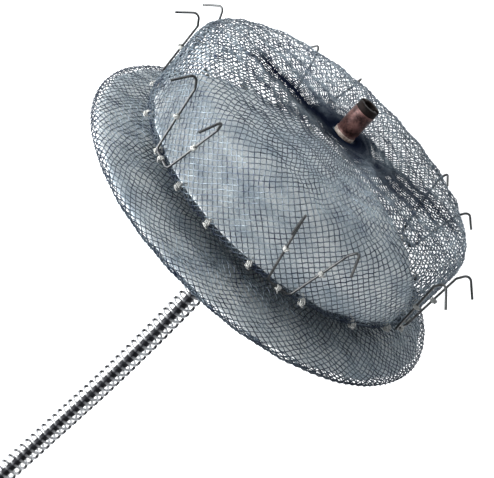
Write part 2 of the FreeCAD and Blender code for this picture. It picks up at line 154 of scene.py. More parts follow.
# Hook wires, in millimetres.
HOOK_WIRE_RADIUS = 0.10
HOOK_WIRE_SIDES = 12
HOOK_PAIR_ANGLES_DEG = (-6, 53, 107, 163, 224, 288)
HOOK_CLEARANCE = 0.06
HOOK_BASE_HEIGHT = 0.35
HOOK_BASE_SPREAD_DEG = 4.1
HOOK_LIFT_HEIGHT = 5.6
HOOK_APEX_HEIGHT = 6.6
HOOK_APEX_REACH = 0.70
HOOK_APEX_SPREAD_DEG = 9.5
HOOK_TIP_HEIGHT = 5.3
HOOK_TIP_REACH = 2.15
HOOK_BEND_RADIUS = 0.40
HOOK_BEND_STEPS = 6

# Thread, in millimetres. A knot's loose end has two points, as steps across, along and outward.
THREAD_RADIUS = 0.05
THREAD_SIDES = 6
THREAD_STEPS = 12
KNOT_STEPS = 7
KNOT_HALF_WIDTH = 0.08
KNOT_HALF_LENGTH = 0.10
KNOT_RISE = 0.006
KNOT_LOOSE_END = ((0.10, 0.08, 0.0), (0.18, 0.16, -0.06))
TIE_HEIGHT = 3.2
TIE_TURNS = 4
TIE_WIDTH = 0.34
TIE_CLEARANCE = 0.005
STITCH_TURNS = 3
STITCH_WIDTH = 0.42
STITCH_REACH = 0.24
STITCH_INSET = 0.28
STITCH_RISE = 0.22
STITCH_WANDER = 0.06
STITCH_SLANT = 0.4
STITCH_LEAN = -0.35
STITCH_ARCH = 0.16
STITCH_ARCH_SHARE = 0.6
HOLD_INSET = 0.35
HOLD_RISE = 0.12

# Clamps, screws and the cable's tip, in millimetres. Their edges have one of three widths.
TURNED_SEGMENTS = 48
CREASE_ANGLE_DEG = 35
FINE_EDGE = 0.02
SMALL_EDGE = 0.06
WIDE_EDGE = 0.08
CLAMP_RADIUS = 0.90
CLAMP_LENGTH = 3.3
CLAMP_FOOT_RADIUS = 0.80
CLAMP_WALL = 0.2
CLAMP_BORE_RADIUS = 0.68
CLAMP_BORE_DEPTH = 1.2
CRIMP_START = 0.42
CRIMP_WIDTH = 0.32
CRIMP_DEPTH = 0.05
CLAMP_SOCKET_RADIUS = 0.55
CLAMP_SOCKET_DEPTH = 1.3
CLAMP_SOCKET_CONE = 0.1
CLAMP_LIP_WIDTH = 0.05
CLAMP_SLOT_WIDTH = 0.45
CLAMP_SLOT_DEPTH = 0.55
SLOT_OVERCUT = 0.4
CLAMP_PALE_FOOT_HEIGHT = 0.45
# The clamp's three materials: red-brown wall, near-black painted shade on its prongs and inside, and a pale
# cream foot.
WALL_FINISH, PAINTED_SHADE_FACES, PALE_FOOT = range(3)
SCREW_RADIUS = 1.20
SCREW_BEVEL = 0.2
SCREW_NECK_RADIUS = 0.93
SCREW_NECK_LENGTH = 1.2
SCREW_BORE_RADIUS = 0.64
SCREW_BORE_SPARE = 0.04
SCREW_THREAD_START = 0.35
SCREW_THREAD_END = 1.3
SCREW_THREAD_DEPTH = 0.10
SCREW_THREAD_PITCH = 0.30
TIP_RADIUS = 1.0
TIP_BACK_GROOVE = 0.7
TIP_FRONT_GROOVE = 0.62
GROOVE_WIDTH = 0.28
GROOVE_DEPTH = 0.07
STUD_RADIUS = 0.60
STUD_LENGTH = 1.6
STUD_END_EDGE = 0.12
STUD_THREAD_INSET = 0.15
STUD_THREAD_DEPTH = 0.06
STUD_THREAD_PITCH = 0.22

# Where a screw thread's root starts and ends, and the room that its last ridge needs, in pitches.
ROOT_START = 0.35
ROOT_END = 0.5
LAST_RIDGE = 0.9

# Cable, in metres in the row frame. The four points are corners of its route.
CABLE_RADIUS = 0.001
CABLE_EXIT = (-0.0065038, 0.0, -0.0030884)
CABLE_TURN = (-0.0155371, 0.0, -0.0073778)
CABLE_LANDING = (-0.0301903, 0.0011275, -0.0143568)
CABLE_RUN_END = (-0.0401609, 0.0018946, -0.0143568)
CABLE_WIRE_RADIUS = 0.00012
CABLE_WIRE_SIDES = 6
CABLE_CORE_RADIUS = 0.00038
CABLE_CORE_SIDES = 8
CABLE_CORE_STEP = 0.0012
CABLE_PITCH = 0.00075
SHOWN_LENGTH = 0.050
SHOWN_STEPS_PER_TURN = 24
HIDDEN_STEPS_PER_TURN = 10
DIRECTION_STEP = 0.0004
# How sharply the wire's painted shade and painted reflection change round each turn.
WIRE_PAINTED_SHADE_POWER = 6
ROUTE_RESOLUTION = 10

# The put-away coil and the cable's free end, in metres.
COIL_MIDDLE_RADIUS = 0.012
COIL_COLUMNS = 5
COIL_INNER_RADIUS = COIL_MIDDLE_RADIUS - (COIL_COLUMNS - 1) * CABLE_RADIUS
COIL_OUTER_RADIUS = COIL_MIDDLE_RADIUS + (COIL_COLUMNS - 1) * CABLE_RADIUS
COIL_OUTSIDE = COIL_MIDDLE_RADIUS + COIL_COLUMNS * CABLE_RADIUS
COIL_LEAD_CLEARANCE = 0.0008
COIL_POINTS_PER_TURN = 16
COIL_SPIRAL_TURNS = 4.0
COIL_CLIMB_TURNS = 0.5
TAIL_LEAD = 0.0015
TAIL_MARGIN = 0.0005
GRIP_RADIUS = 0.00075
GRIP_LENGTH = 0.009
GRIP_ROUNDING = 0.0003
GRIP_TIP_STEPS = 6
GRIP_SEGMENTS = 32

# Materials: the noise that blends two tones, the weave of the cloth, and the pale surroundings.
PATCH_DETAIL = 3.0
GRAIN_DETAIL = 4.0
GRAIN_SHARE = 0.4
NOISE_LOW = 0.35
NOISE_HIGH = 0.65
YARN_SCALE = 1.6
YARN_DISTORTION = 0.6
WEAVE_RELIEF = 0.00003
WHITE = (1, 1, 1, 1)
FLOOR_COLOUR = (0.66, 0.67, 0.68, 1)
FLOOR_ROUGHNESS = 0.9
FLOOR_GLOW = 0.62
FLOOR_HALF_SIDE = 1.5
SKY_COLOUR = (0.93, 0.96, 1.0, 1)
SKY_STRENGTH = 0.56

# Camera, in pixels of the photograph, with its height and its clip range in metres.
PHOTO_SIZE = (494, 478)
DISC_CENTRE_PIXEL = (265.4, 217.5)
FOCAL_PIXELS = 1457.0
SENSOR_WIDTH = 36.0
CAMERA_HEIGHT = 0.1167
CAMERA_TURN_DEG = -46.7
CAMERA_CLIP = (0.002, 20.0)

# Lamps: the name, place, size and power of each, in metres and watts.
LAMPS = (
    ("key_lamp", (0.050, 0.085, 0.070), 0.10, 0.095),
    ("fill_lamp", (-0.10, 0.20, 0.40), 0.30, 0.45),
    ("left_lamp", (-0.060, 0.108, 0.050), 0.10, 0.500),
)


# Small tools for points, meshes and objects.

def polar(radius, angle, height):
    return Vector((radius * math.cos(angle), radius * math.sin(angle), height))


def even_steps(first, last, count):
    return [first + (last - first) * k / count for k in range(count + 1)]


def running_total(steps):
    return np.concatenate([[0.0], np.cumsum(steps)])


def line_mesh(name, lines):
    """A mesh of edges only: each line is a list of points, joined one after the other."""
    points = []
    edges = []
    for line in lines:
        first = len(points)
        points.extend(tuple(point) for point in line)
        edges.extend((first + k, first + k + 1) for k in range(len(line) - 1))
    mesh = bpy.data.meshes.new(name)
    mesh.from_pydata(points, edges, [])
    return mesh


def built_mesh(name, bm):
    mesh = bpy.data.meshes.new(name)
    bm.to_mesh(mesh)
    bm.free()
    return mesh


def mesh_points(mesh):
    points = np.zeros(len(mesh.vertices) * 3)
    mesh.vertices.foreach_get("co", points)
    return points.reshape(-1, 3)


def keep_shade(mesh, shade):
    """Stores each point's painted shade as an attribute, for the materials that darken by it."""
    painted_shade = mesh.attributes.new("painted_shade", "FLOAT", "POINT")
    painted_shade.data.foreach_set("value", shade.astype(np.float32))


def smooth_shaded(mesh):
    mesh.polygons.foreach_set("use_smooth", [True] * len(mesh.polygons))
    mesh.update()
    return mesh


def sharp_edged(mesh):
    """Keeps the sharper creases of a mesh whose faces are smooth."""
    mesh.set_sharp_from_angle(angle=math.radians(CREASE_ANGLE_DEG))
    return mesh


def in_row_frame(mesh):
    """Leans a mesh of the implant over, from its own frame to the row frame."""
    mesh.transform(TO_ROW_FRAME)
    mesh.update()
    return mesh


def add_object(name, data):
    item = bpy.data.objects.new(name, data)
    bpy.context.scene.collection.objects.link(item)
    return item


def evaluated_mesh(source):
    """The mesh that an object's curve or modifiers make. The object itself is removed."""
    graph = bpy.context.evaluated_depsgraph_get()
    mesh = bpy.data.meshes.new_from_object(source.evaluated_get(graph), depsgraph=graph)
    bpy.data.objects.remove(source)
    return mesh


def add_piece(name, mesh, material, replaced=()):
    """A finished piece at the origin that rides on the model's one body."""
    piece = add_object(name, mesh)
    mesh.materials.clear()
    mesh.materials.append(material)
    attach(piece, "root")
    if replaced:
        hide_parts(*replaced)
    return piece


# Small tools for node trees.

def new_tree(name, kind, inputs, outputs):
    """A tree with named inputs and outputs of given kinds, and its own input and output nodes."""
    tree = bpy.data.node_groups.new(name, kind)
    for side, sockets in (("INPUT", inputs), ("OUTPUT", outputs)):
        for label, value_kind in sockets.items():
            tree.interface.new_socket(label, in_out=side, socket_type="NodeSocket" + value_kind)
    return tree, tree.nodes.new("NodeGroupInput"), tree.nodes.new("NodeGroupOutput")


def set_values(node, values):
    for socket, value in values.items():
        node.inputs[socket].default_value = value


def add_node(tree, kind, values=None, **settings):
    """A node with its settings, and with values for inputs that nothing is linked to."""
    node = tree.nodes.new(kind)
    for name, setting in settings.items():
        setattr(node, name, setting)
    set_values(node, values or {})
    return node


def join(tree, *links):
    """Makes links, each given as a node, its output, the next node and that one's input."""
    for source, output, target, socket in links:
        tree.links.new(source.outputs[output], target.inputs[socket])


# Wires, made from lines by Geometry Nodes.

def made_by(tree, base, values):
    """The plain mesh that a tree makes from a base mesh, with the given input values."""
    source = add_object(base.name + "_base", base)
    modifier = source.modifiers.new("build", "NODES")
    modifier.node_group = tree
    for item in tree.interface.items_tree:
        if item.item_type == "SOCKET" and item.in_out == "INPUT" and item.name in values:
            modifier[item.identifier] = values[item.name]
    return evaluated_mesh(source)


def turned_copies_tree():
    """Copies of a line, turned in even steps about the implant's axis."""
    inputs = {"Geometry": "Geometry", "Copies": "Int", "Step": "Float"}
    tree, start, end = new_tree("turned_copies", "GeometryNodeTree", inputs, {"Geometry": "Geometry"})
    points = add_node(tree, "GeometryNodePoints")
    index = add_node(tree, "GeometryNodeInputIndex")
    angle = add_node(tree, "ShaderNodeMath", operation="MULTIPLY")
    turn = add_node(tree, "ShaderNodeCombineXYZ")
    rotation = add_node(tree, "FunctionNodeEulerToRotation")
    copies = add_node(tree, "GeometryNodeInstanceOnPoints")
    real = add_node(tree, "GeometryNodeRealizeInstances")
    join(
        tree,
        (start, "Copies", points, "Count"), (index, 0, angle, 0), (start, "Step", angle, 1),
        (angle, 0, turn, "Z"), (turn, 0, rotation, 0), (points, 0, copies, "Points"),
        (start, "Geometry", copies, "Instance"), (rotation, 0, copies, "Rotation"), (copies, 0, real, 0),
        (real, 0, end, 0),
    )
    return tree


def wire_tree(name, has_bends):
    """A round wire along every line of a mesh, whose corners may first be bent to a radius."""
    inputs = {"Geometry": "Geometry", "Wire Radius": "Float", "Sides": "Int"}
    if has_bends:
        inputs.update({"Bend Radius": "Float", "Bend Steps": "Int"})
    tree, start, end = new_tree(name, "GeometryNodeTree", inputs, {"Geometry": "Geometry"})
    line = add_node(tree, "GeometryNodeMeshToCurve")
    section = add_node(tree, "GeometryNodeCurvePrimitiveCircle")
    tube = add_node(tree, "GeometryNodeCurveToMesh", {"Fill Caps": True})
    join(
        tree,
        (start, "Geometry", line, 0), (line, 0, tube, "Curve"), (start, "Sides", section, "Resolution"),
        (start, "Wire Radius", section, "Radius"), (section, 0, tube, "Profile Curve"), (tube, 0, end, 0),
    )
    if has_bends:
        bend = add_node(tree, "GeometryNodeFilletCurve", mode="POLY")
        join(
            tree,
            (line, 0, bend, "Curve"), (start, "Bend Radius", bend, "Radius"),
            (start, "Bend Steps", bend, "Count"), (bend, 0, tube, "Curve"),
        )
    return tree


TURNED_COPIES = turned_copies_tree()
PLAIN_WIRE = wire_tree("plain_wire", False)
BENT_WIRE = wire_tree("bent_wire", True)


def round_wire(line, radius, sides, bends=None):
    """Round wire along a mesh's lines, just as their points lie, or with their corners bent."""
    values = {"Wire Radius": radius, "Sides": sides, **(bends or {})}
    return smooth_shaded(made_by(BENT_WIRE if bends else PLAIN_WIRE, line, values))


# Materials. A Mix node has sockets of the same name for each kind of value, so those for colours
# are found by number.
MIX_FROM = 6
MIX_TO = 7
MIX_RESULT = 2


def two_tone_group():
    """Two tones blended by a coarse and a fine noise, with the fine noise as grain."""
    inputs = {"Vector": "Vector", "Dark": "Color", "Light": "Color", "Patch Scale": "Float",
              "Grain Scale": "Float"}
    outputs = {"Colour": "Color", "Mask": "Float", "Grain": "Float"}
    tree, start, end = new_tree("two_tone", "ShaderNodeTree", inputs, outputs)
    patch = add_node(tree, "ShaderNodeTexNoise", {"Detail": PATCH_DETAIL})
    grain = add_node(tree, "ShaderNodeTexNoise", {"Detail": GRAIN_DETAIL})
    average = add_node(tree, "ShaderNodeMix", {"Factor": GRAIN_SHARE})
    spread = add_node(tree, "ShaderNodeMapRange", {"From Min": NOISE_LOW, "From Max": NOISE_HIGH})
    tone = add_node(tree, "ShaderNodeMix", data_type="RGBA")
    join(
        tree,
        (start, "Vector", patch, "Vector"), (start, "Patch Scale", patch, "Scale"),
        (start, "Vector", grain, "Vector"), (start, "Grain Scale", grain, "Scale"),
        (patch, "Fac", average, "A"), (grain, "Fac", average, "B"), (average, "Result", spread, "Value"),
        (spread, "Result", tone, "Factor"), (start, "Dark", tone, MIX_FROM), (start, "Light", tone, MIX_TO),
        (tone, MIX_RESULT, end, "Colour"), (spread, "Result", end, "Mask"), (grain, "Fac", end, "Grain"),
    )
    return tree


TWO_TONE = two_tone_group()


def new_material(name):
    """A material, with its node tree and its Principled shader."""
    material = bpy.data.materials.new(name)
    material.use_nodes = True
    return material, material.node_tree, material.node_tree.nodes["Principled BSDF"]


def add_bump(tree, source, output, shader, distance):
    relief = add_node(tree, "ShaderNodeBump", {"Distance": distance})
    join(tree, (source, output, relief, "Height"), (relief, "Normal", shader, "Normal"))


def toned_material(name, dark, light, roughness, scales, metallic=1.0, bump=0.0):
    """A material whose colour, roughness and fine bump come from the two-tone group. The scales are
    those of its patches and its grain, and the bump is in metres."""
    material, tree, shader = new_material(name)
    shader.inputs["Metallic"].default_value = metallic
    place = add_node(tree, "ShaderNodeTexCoord")
    tones = {"Dark": (*dark, 1), "Light": (*light, 1), "Patch Scale": scales[0], "Grain Scale": scales[1]}
    tone = add_node(tree, "ShaderNodeGroup", tones, node_tree=TWO_TONE)
    rough = add_node(tree, "ShaderNodeMapRange", {"To Min": roughness[0], "To Max": roughness[1]})
    join(
        tree,
        (place, "Object", tone, "Vector"), (tone, "Colour", shader, "Base Color"),
        (tone, "Mask", rough, "Value"), (rough, "Result", shader, "Roughness"),
    )
    if bump:
        add_bump(tree, tone, "Grain", shader, bump)
    return material


def darker_by_painted_shade(material, painted_shade_colour):
    """Paints shade on a metal: darker, and less of a metal, where its mesh's painted shade attribute says."""
    tree = material.node_tree
    shader = tree.nodes["Principled BSDF"]
    tone = shader.inputs["Base Color"].links[0].from_node
    painted_shade = add_node(tree, "ShaderNodeAttribute", attribute_name="painted_shade")
    mix = add_node(tree, "ShaderNodeMix", {MIX_TO: (*painted_shade_colour, 1)}, data_type="RGBA")
    metallic = shader.inputs["Metallic"].default_value
    metal = add_node(tree, "ShaderNodeMapRange", {"To Min": metallic, "To Max": 0.0})
    join(
        tree,
        (painted_shade, "Fac", mix, "Factor"), (tone, "Colour", mix, MIX_FROM),
        (mix, MIX_RESULT, shader, "Base Color"), (painted_shade, "Fac", metal, "Value"),
        (metal, "Result", shader, "Metallic"),
    )
    shader.inputs["Specular IOR Level"].default_value = 0.0
    return material


def woven_material():
    """White polyester cloth: two sets of fine yarns that cross along the patch's own map."""
    material = toned_material(
        "woven_polyester", dark=(0.36, 0.44, 0.51), light=(0.96, 0.98, 0.97),
        roughness=(0.75, 0.90), metallic=0.0, scales=(260, 5000),
    )
    tree = material.node_tree
    place = add_node(tree, "ShaderNodeUVMap", uv_map="weave")
    weave = add_node(tree, "ShaderNodeMath", operation="MAXIMUM")
    yarns = {"Scale": YARN_SCALE, "Distortion": YARN_DISTORTION}
    for number, direction in enumerate(("X", "Y")):
        yarn = add_node(tree, "ShaderNodeTexWave", yarns, bands_direction=direction)
        join(tree, (place, "UV", yarn, "Vector"), (yarn, "Fac", weave, number))
    add_bump(tree, weave, 0, tree.nodes["Principled BSDF"], WEAVE_RELIEF)
    return material


# The braid's wire, with painted shade in its folds, round the clamp, at the disc's rim and in the crease.
NITINOL = darker_by_painted_shade(toned_material(
    "dark_nitinol_wire", dark=(0.012, 0.021, 0.046), light=(0.240, 0.290, 0.320),
    roughness=(0.32, 0.50), scales=(800, 5200),
), (0.006, 0.009, 0.020))
HOOK_NITINOL = toned_material(
    "hook_nitinol_wire", dark=(0.030, 0.032, 0.036), light=(0.095, 0.097, 0.095),
    roughness=(0.25, 0.40), scales=(500, 6000),
)
STEEL = toned_material(
    "turned_steel", dark=(0.33, 0.34, 0.35), light=(0.52, 0.53, 0.54),
    roughness=(0.22, 0.36), scales=(500, 9000), bump=0.000004,
)
# Painted shade darkens the cable's steel at each turn's top, bottom and sides; the bright bands left between
# are a painted reflection.
CABLE_STEEL = darker_by_painted_shade(toned_material(
    "bright_cable_wire", dark=(0.62, 0.63, 0.65), light=(0.88, 0.89, 0.90),
    roughness=(0.20, 0.34), scales=(700, 6000),
), (0.010, 0.011, 0.014))
CORE_STEEL = toned_material(
    "dark_cable_core", dark=(0.005, 0.005, 0.007), light=(0.018, 0.019, 0.023),
    roughness=(0.40, 0.55), metallic=0.8, scales=(600, 6000),
)
BROWN_CLAMP = toned_material(
    "red_brown_clamp", dark=(0.018, 0.007, 0.007), light=(0.190, 0.095, 0.085),
    roughness=(0.30, 0.50), metallic=0.35, scales=(1500, 7000), bump=0.000008,
)
# Near-black painted shade for the clamp's slotted end and its inside.
PRONG_AND_INSIDE_SHADE = toned_material(
    "painted_shade_on_clamp_end", dark=(0.003, 0.003, 0.003), light=(0.016, 0.010, 0.009),
    roughness=(0.55, 0.75), metallic=0.8, scales=(1500, 7000), bump=0.000006,
)
# A pale cream colour painted all round the clamp's foot.
PALE_CREAM_FOOT = toned_material(
    "pale_cream_clamp_foot", dark=(0.22, 0.15, 0.12), light=(0.72, 0.64, 0.56),
    roughness=(0.35, 0.55), metallic=0.4, scales=(1800, 7000), bump=0.000010,
)
THREAD = toned_material(
    "cream_thread", dark=(0.20, 0.205, 0.20), light=(0.48, 0.485, 0.46),
    roughness=(0.70, 0.85), metallic=0.0, scales=(900, 9000), bump=0.000006,
)
POLYESTER = woven_material()


# Camera.

def add_camera():
    """Straight down on the implant, as the photograph shows it."""
    data = bpy.data.cameras.new("camera")
    data.sensor_width = SENSOR_WIDTH
    data.lens = SENSOR_WIDTH * FOCAL_PIXELS / PHOTO_SIZE[0]
    data.shift_x = (PHOTO_SIZE[0] / 2 - DISC_CENTRE_PIXEL[0]) / PHOTO_SIZE[0]
    data.shift_y = (DISC_CENTRE_PIXEL[1] - PHOTO_SIZE[1] / 2) / PHOTO_SIZE[0]
    data.clip_start, data.clip_end = CAMERA_CLIP
    camera = add_object("camera", data)
    camera.location = (0, 0, CAMERA_HEIGHT)
    camera.rotation_euler = (0, 0, math.radians(CAMERA_TURN_DEG))
    bpy.context.scene.camera = camera


# Delivery cable.

def coil_middle():
    """The put-away coil's centre on the floor, and the angle at which its first turn starts."""
    level = (Vector(CABLE_RUN_END) - Vector(CABLE_LANDING)).normalized()
    lead = math.sqrt(COIL_OUTSIDE ** 2 - (COIL_OUTSIDE - 2 * CABLE_RADIUS) ** 2) + COIL_LEAD_CLEARANCE
    first_turn = Vector(CABLE_RUN_END) + level * lead
    inward = Vector((-level.y, level.x, 0))
    centre = first_turn + inward * COIL_OUTER_RADIUS
    centre.z = FLOOR * MM
    return centre, math.atan2(-inward.y, -inward.x)


def coil_points():
    """Control points of the put-away turns, a diameter apart: in, up, out, up, in and up again.
    The coil's centre and the height of its last turn come with them."""
    centre, start_angle = coil_middle()
    inner, outer = COIL_INNER_RADIUS, COIL_OUTER_RADIUS
    stages = ((outer, inner), (inner, inner), (inner, outer), (outer, outer), (outer, inner), (inner, inner))
    widening = 1 / math.cos(math.pi / COIL_POINTS_PER_TURN)
    level = CABLE_RADIUS
    turned = 0.0
    points = []
    for first, last in stages:
        climbs = first == last
        climb = 2 * CABLE_RADIUS if climbs else 0.0
        turns = COIL_CLIMB_TURNS if climbs else COIL_SPIRAL_TURNS
        count = round(turns * COIL_POINTS_PER_TURN)
        for k in range(count):
            share = (k + 0.5) / count
            radius = first + (last - first) * share
            angle = start_angle + math.tau * (turned + turns * share)
            points.append(centre + polar(radius * widening, angle, level + climb * share))
        turned += turns
        level += climb
    return points, centre, level


def cable_route():
    """Control points from the implant to the cable's tail, and the two ends of the grip on it."""
    turns, centre, level = coil_points()
    tail_start = centre + Vector((0, COIL_INNER_RADIUS, level))
    tail_length = math.sqrt(COIL_OUTSIDE ** 2 - COIL_INNER_RADIUS ** 2) + TAIL_MARGIN
    tail_end = tail_start - Vector((tail_length, 0, 0))
    grip_end = tail_end - Vector((GRIP_LENGTH, 0, 0))
    route = [Vector(CABLE_EXIT), Vector(CABLE_TURN), Vector(CABLE_LANDING), Vector(CABLE_RUN_END)]
    route += turns
    last_angle = math.atan2(turns[-1].y - centre.y, turns[-1].x - centre.x) % math.tau
    step = math.tau / COIL_POINTS_PER_TURN
    while last_angle + step < math.pi / 2:
        last_angle += step
        route.append(centre + polar(COIL_INNER_RADIUS, last_angle, level))
    route += [tail_start - Vector((TAIL_LEAD, 0, 0)), tail_end]
    return route, tail_end, grip_end


def smooth_line(points):
    """Points along the smooth spline that has the given control points."""
    data = bpy.data.curves.new("cable_route", "CURVE")
    data.dimensions = "3D"
    data.resolution_u = ROUTE_RESOLUTION
    spline = data.splines.new("NURBS")
    spline.points.add(len(points) - 1)
    for place, point in zip(spline.points, points):
        place.co = (*point, 1.0)
    spline.order_u = 3
    spline.use_endpoint_u = True
    return mesh_points(evaluated_mesh(add_object("cable_route", data)))


def line_at(line, lengths, at):
    """The points of a line at given lengths along it."""
    return np.stack([np.interp(at, lengths, line[:, k]) for k in range(3)], axis=1)


def wound_wire(line, lengths):
    """The centre line of the cable's outer wire, wound round its route, and its painted shade: dark at
    the top, bottom and sides, and bright between as a painted reflection. Its points are closer
    where the cable shows."""
    shown = np.arange(0.0, SHOWN_LENGTH, CABLE_PITCH / SHOWN_STEPS_PER_TURN)
    hidden = np.arange(SHOWN_LENGTH, lengths[-1], CABLE_PITCH / HIDDEN_STEPS_PER_TURN)
    at = np.concatenate([shown, hidden])
    middle = line_at(line, lengths, at)
    ahead = line_at(line, lengths, np.minimum(at + DIRECTION_STEP, lengths[-1]))
    behind = line_at(line, lengths, np.maximum(at - DIRECTION_STEP, 0.0))
    along = ahead - behind
    along /= np.linalg.norm(along, axis=1)[:, None]
    up = np.array([0.0, 0.0, 1.0]) - along * along[:, 2:3]
    up /= np.linalg.norm(up, axis=1)[:, None]
    side = np.cross(along, up)
    angle = math.tau * at / CABLE_PITCH
    radius = CABLE_RADIUS - CABLE_WIRE_RADIUS
    wire = middle + radius * (up * np.cos(angle)[:, None] + side * np.sin(angle)[:, None])
    return wire, np.sin(angle) ** WIRE_PAINTED_SHADE_POWER + np.cos(angle) ** WIRE_PAINTED_SHADE_POWER


def ring_mesh(name, profile, segments, seat=0.0):
    """A turned piece: (radius, height) points spun about the axis, closed where the radius is 0."""
    bm = bmesh.new()
    rows = []
    for radius, height in profile:
        count = segments if radius else 1
        rows.append([
            bm.verts.new(polar(radius, math.tau * k / segments, seat + height))
            for k in range(count)
        ])
    for low, high in zip(rows, rows[1:]):
        for k in range(segments):
            after = (k + 1) % segments
            corners = [low[k % len(low)], low[after % len(low)], high[after % len(high)], high[k % len(high)]]
            # A row of one point gives a corner twice, and a face takes it once.
            bm.faces.new(dict.fromkeys(corners))
    bmesh.ops.recalc_face_normals(bm, faces=bm.faces)
    return smooth_shaded(built_mesh(name, bm))


def grip_mesh(start, end):
    """The ground end of the core: a plain round pin with a rounded tip, along the tail."""
    length = (end - start).length
    profile = [(0.0, 0.0), (GRIP_RADIUS, 0.0), (GRIP_RADIUS, length - GRIP_ROUNDING)]
    for k in range(1, GRIP_TIP_STEPS):
        turn = math.pi / 2 * k / GRIP_TIP_STEPS
        inset = GRIP_ROUNDING * (1 - math.cos(turn))
        drop = GRIP_ROUNDING * (1 - math.sin(turn))
        profile.append((GRIP_RADIUS - inset, length - drop))
    profile += [(GRIP_RADIUS - GRIP_ROUNDING, length), (0.0, length)]
    mesh = ring_mesh("cable_grip_end", profile, GRIP_SEGMENTS)
    lie_down = Vector((0, 0, 1)).rotation_difference(end - start).to_matrix().to_4x4()
    mesh.transform(Matrix.Translation(start) @ lie_down)
    return mesh


def add_cable():
    """The cable's wound wire, the core inside it, and the ground end of the core."""
    route, tail_end, grip_end = cable_route()
    line = smooth_line(route)
    lengths = running_total(np.linalg.norm(np.diff(line, axis=0), axis=1))
    # The wire's points carry its painted shade and painted reflection.
    wire, shade = wound_wire(line, lengths)
    wire_line = line_mesh("cable_wire_line", [wire])
    keep_shade(wire_line, shade)
    core = line_at(line, lengths, np.arange(0.0, lengths[-1], CABLE_CORE_STEP))
    core_line = line_mesh("cable_core_line", [core])
    solids = ["delivery_cable_run", "delivery_cable_coil", "delivery_cable_tail"]
    cable = add_piece("delivery_cable_wire", round_wire(wire_line, CABLE_WIRE_RADIUS, CABLE_WIRE_SIDES),
                      CABLE_STEEL, solids)
    core_piece = add_piece("delivery_cable_core", round_wire(core_line, CABLE_CORE_RADIUS, CABLE_CORE_SIDES),
                           CORE_STEEL, solids)
    grip = add_piece("delivery_cable_grip", grip_mesh(tail_end, grip_end), STEEL,
                     ["delivery_cable_tail"])


# Braid.

def disc_height(radius, middle_height, power):
    """How far one of the disc's two layers lies from the plane of the rim, at a radius."""
    share = radius / (DISC_RADIUS - HALF_WALL - RIM_TUCK)
    return RIM_HALF_THICKNESS + (middle_height - RIM_HALF_THICKNESS) * (1 - share ** power)


def front_height(radius):
    """The lobe's front: a low crown all round, and a smaller rise in its middle under the clamp."""
    crown_share = min(radius / (LOBE_RADIUS - CROWN_EDGE_INSET), 1.0)
    crown = CROWN_HEIGHT * math.sin(math.pi * crown_share) ** CROWN_POWER
    seat = CLAMP_SEAT_RISE * math.exp(-(radius / SEAT_SPREAD) ** 2)
    return LOBE_FRONT + crown + seat


def disc_profile():
    """(radius, height) points of the disc's middle line, from the end screw to the waist."""
    rim = DISC_RADIUS - HALF_WALL - RIM_CLEARANCE
    edge = rim - RIM_TUCK
    points = [(radius, END_SCREW_SEAT + rise) for radius, rise in BACK_BUNDLE]
    for radius in even_steps(BACK_START_RADIUS, edge, DISC_STEPS):
        points.append((radius, -disc_height(radius, DISC_BACK_DEPTH, DISC_BACK_POWER)))
    points.append((rim, 0.0))
    for radius in even_steps(edge, WAIST_RADIUS, DISC_STEPS):
        points.append((radius, disc_height(radius, DISC_FRONT_HEIGHT, DISC_FRONT_POWER)))
    return points + [(WAIST_RADIUS - HALF_WALL, WAIST_MIDDLE)]


def lobe_profile():
    """(radius, height) points of the lobe's middle line, from past the waist to the front clamp."""
    side = LOBE_RADIUS - HALF_WALL
    points = []
    for radius in even_steps(WAIST_RADIUS, side - LOBE_CORNER_INSET, LOBE_STEPS):
        share = (radius - WAIST_RADIUS) / (side - WAIST_RADIUS)
        points.append((radius, LOBE_BACK + LOBE_BACK_RISE * share ** LOBE_BACK_POWER))
    side_start = LOBE_EDGE + LOBE_CORNER_RISE
    points += [(side, height) for height in even_steps(side_start, SHOULDER_START, SIDE_STEPS)]
    for k in range(1, SIDE_STEPS):
        turn = math.pi / 2 * k / SIDE_STEPS
        radius = side - SHOULDER_RADIUS * (1 - math.cos(turn))
        points.append((radius, SHOULDER_START + SHOULDER_RADIUS * math.sin(turn)))
    front_start = side - SHOULDER_RADIUS - SHOULDER_GAP
    for radius in even_steps(front_start, FRONT_END_RADIUS, LOBE_STEPS):
        points.append((radius, front_height(radius)))
    return points + [(radius, CLAMP_SEAT + rise) for radius, rise in FRONT_BUNDLE]


def rounded(points):
    """The same line with its corners cut twice, so that it bends smoothly."""
    line = np.array(points)
    for _ in range(2):
        near = line[:-1] * 0.75 + line[1:] * 0.25
        far = line[:-1] * 0.25 + line[1:] * 0.75
        cut = np.stack([near, far], axis=1).reshape(-1, 2)
        line = np.concatenate([line[:1], cut, line[-1:]])
    return line


def braid_rows():
    """How far a wire has turned at each of its crossings, and the crossing's place and normal."""
    line = rounded(disc_profile() + lobe_profile())
    radius, height = line[:, 0], line[:, 1]
    along = np.hypot(np.diff(radius), np.diff(height))
    middle_radius = (radius[:-1] + radius[1:]) / 2
    turned = running_total(along / np.sqrt(STEEPNESS_RADIUS ** 2 - middle_radius ** 2))
    crossings = round(turned[-1] * WIRES_EACH_WAY / math.pi)
    at = turned[-1] * np.arange(crossings + 1) / crossings
    r = np.interp(at, turned, radius)
    z = np.interp(at, turned, height)
    slope_r, slope_z = np.gradient(r), np.gradient(z)
    size = np.hypot(slope_r, slope_z)
    return at, r, z, slope_z / size, -slope_r / size


def wire_pair(name, rows, first, last):
    """One wire each way between two rows of crossings, over one wire and under the next."""
    at, r, z, normal_r, normal_z = (column[first:last + 1] for column in rows)
    beat = (-1.0) ** np.arange(first, last + 1)
    wires = []
    for way in (1, -1):
        shift = WEAVE_SHIFT * beat * way
        radius = r + normal_r * shift
        height = z + normal_z * shift
        wires.append(np.stack([radius * np.cos(way * at), radius * np.sin(way * at), height], axis=1))
    return line_mesh(name, wires)


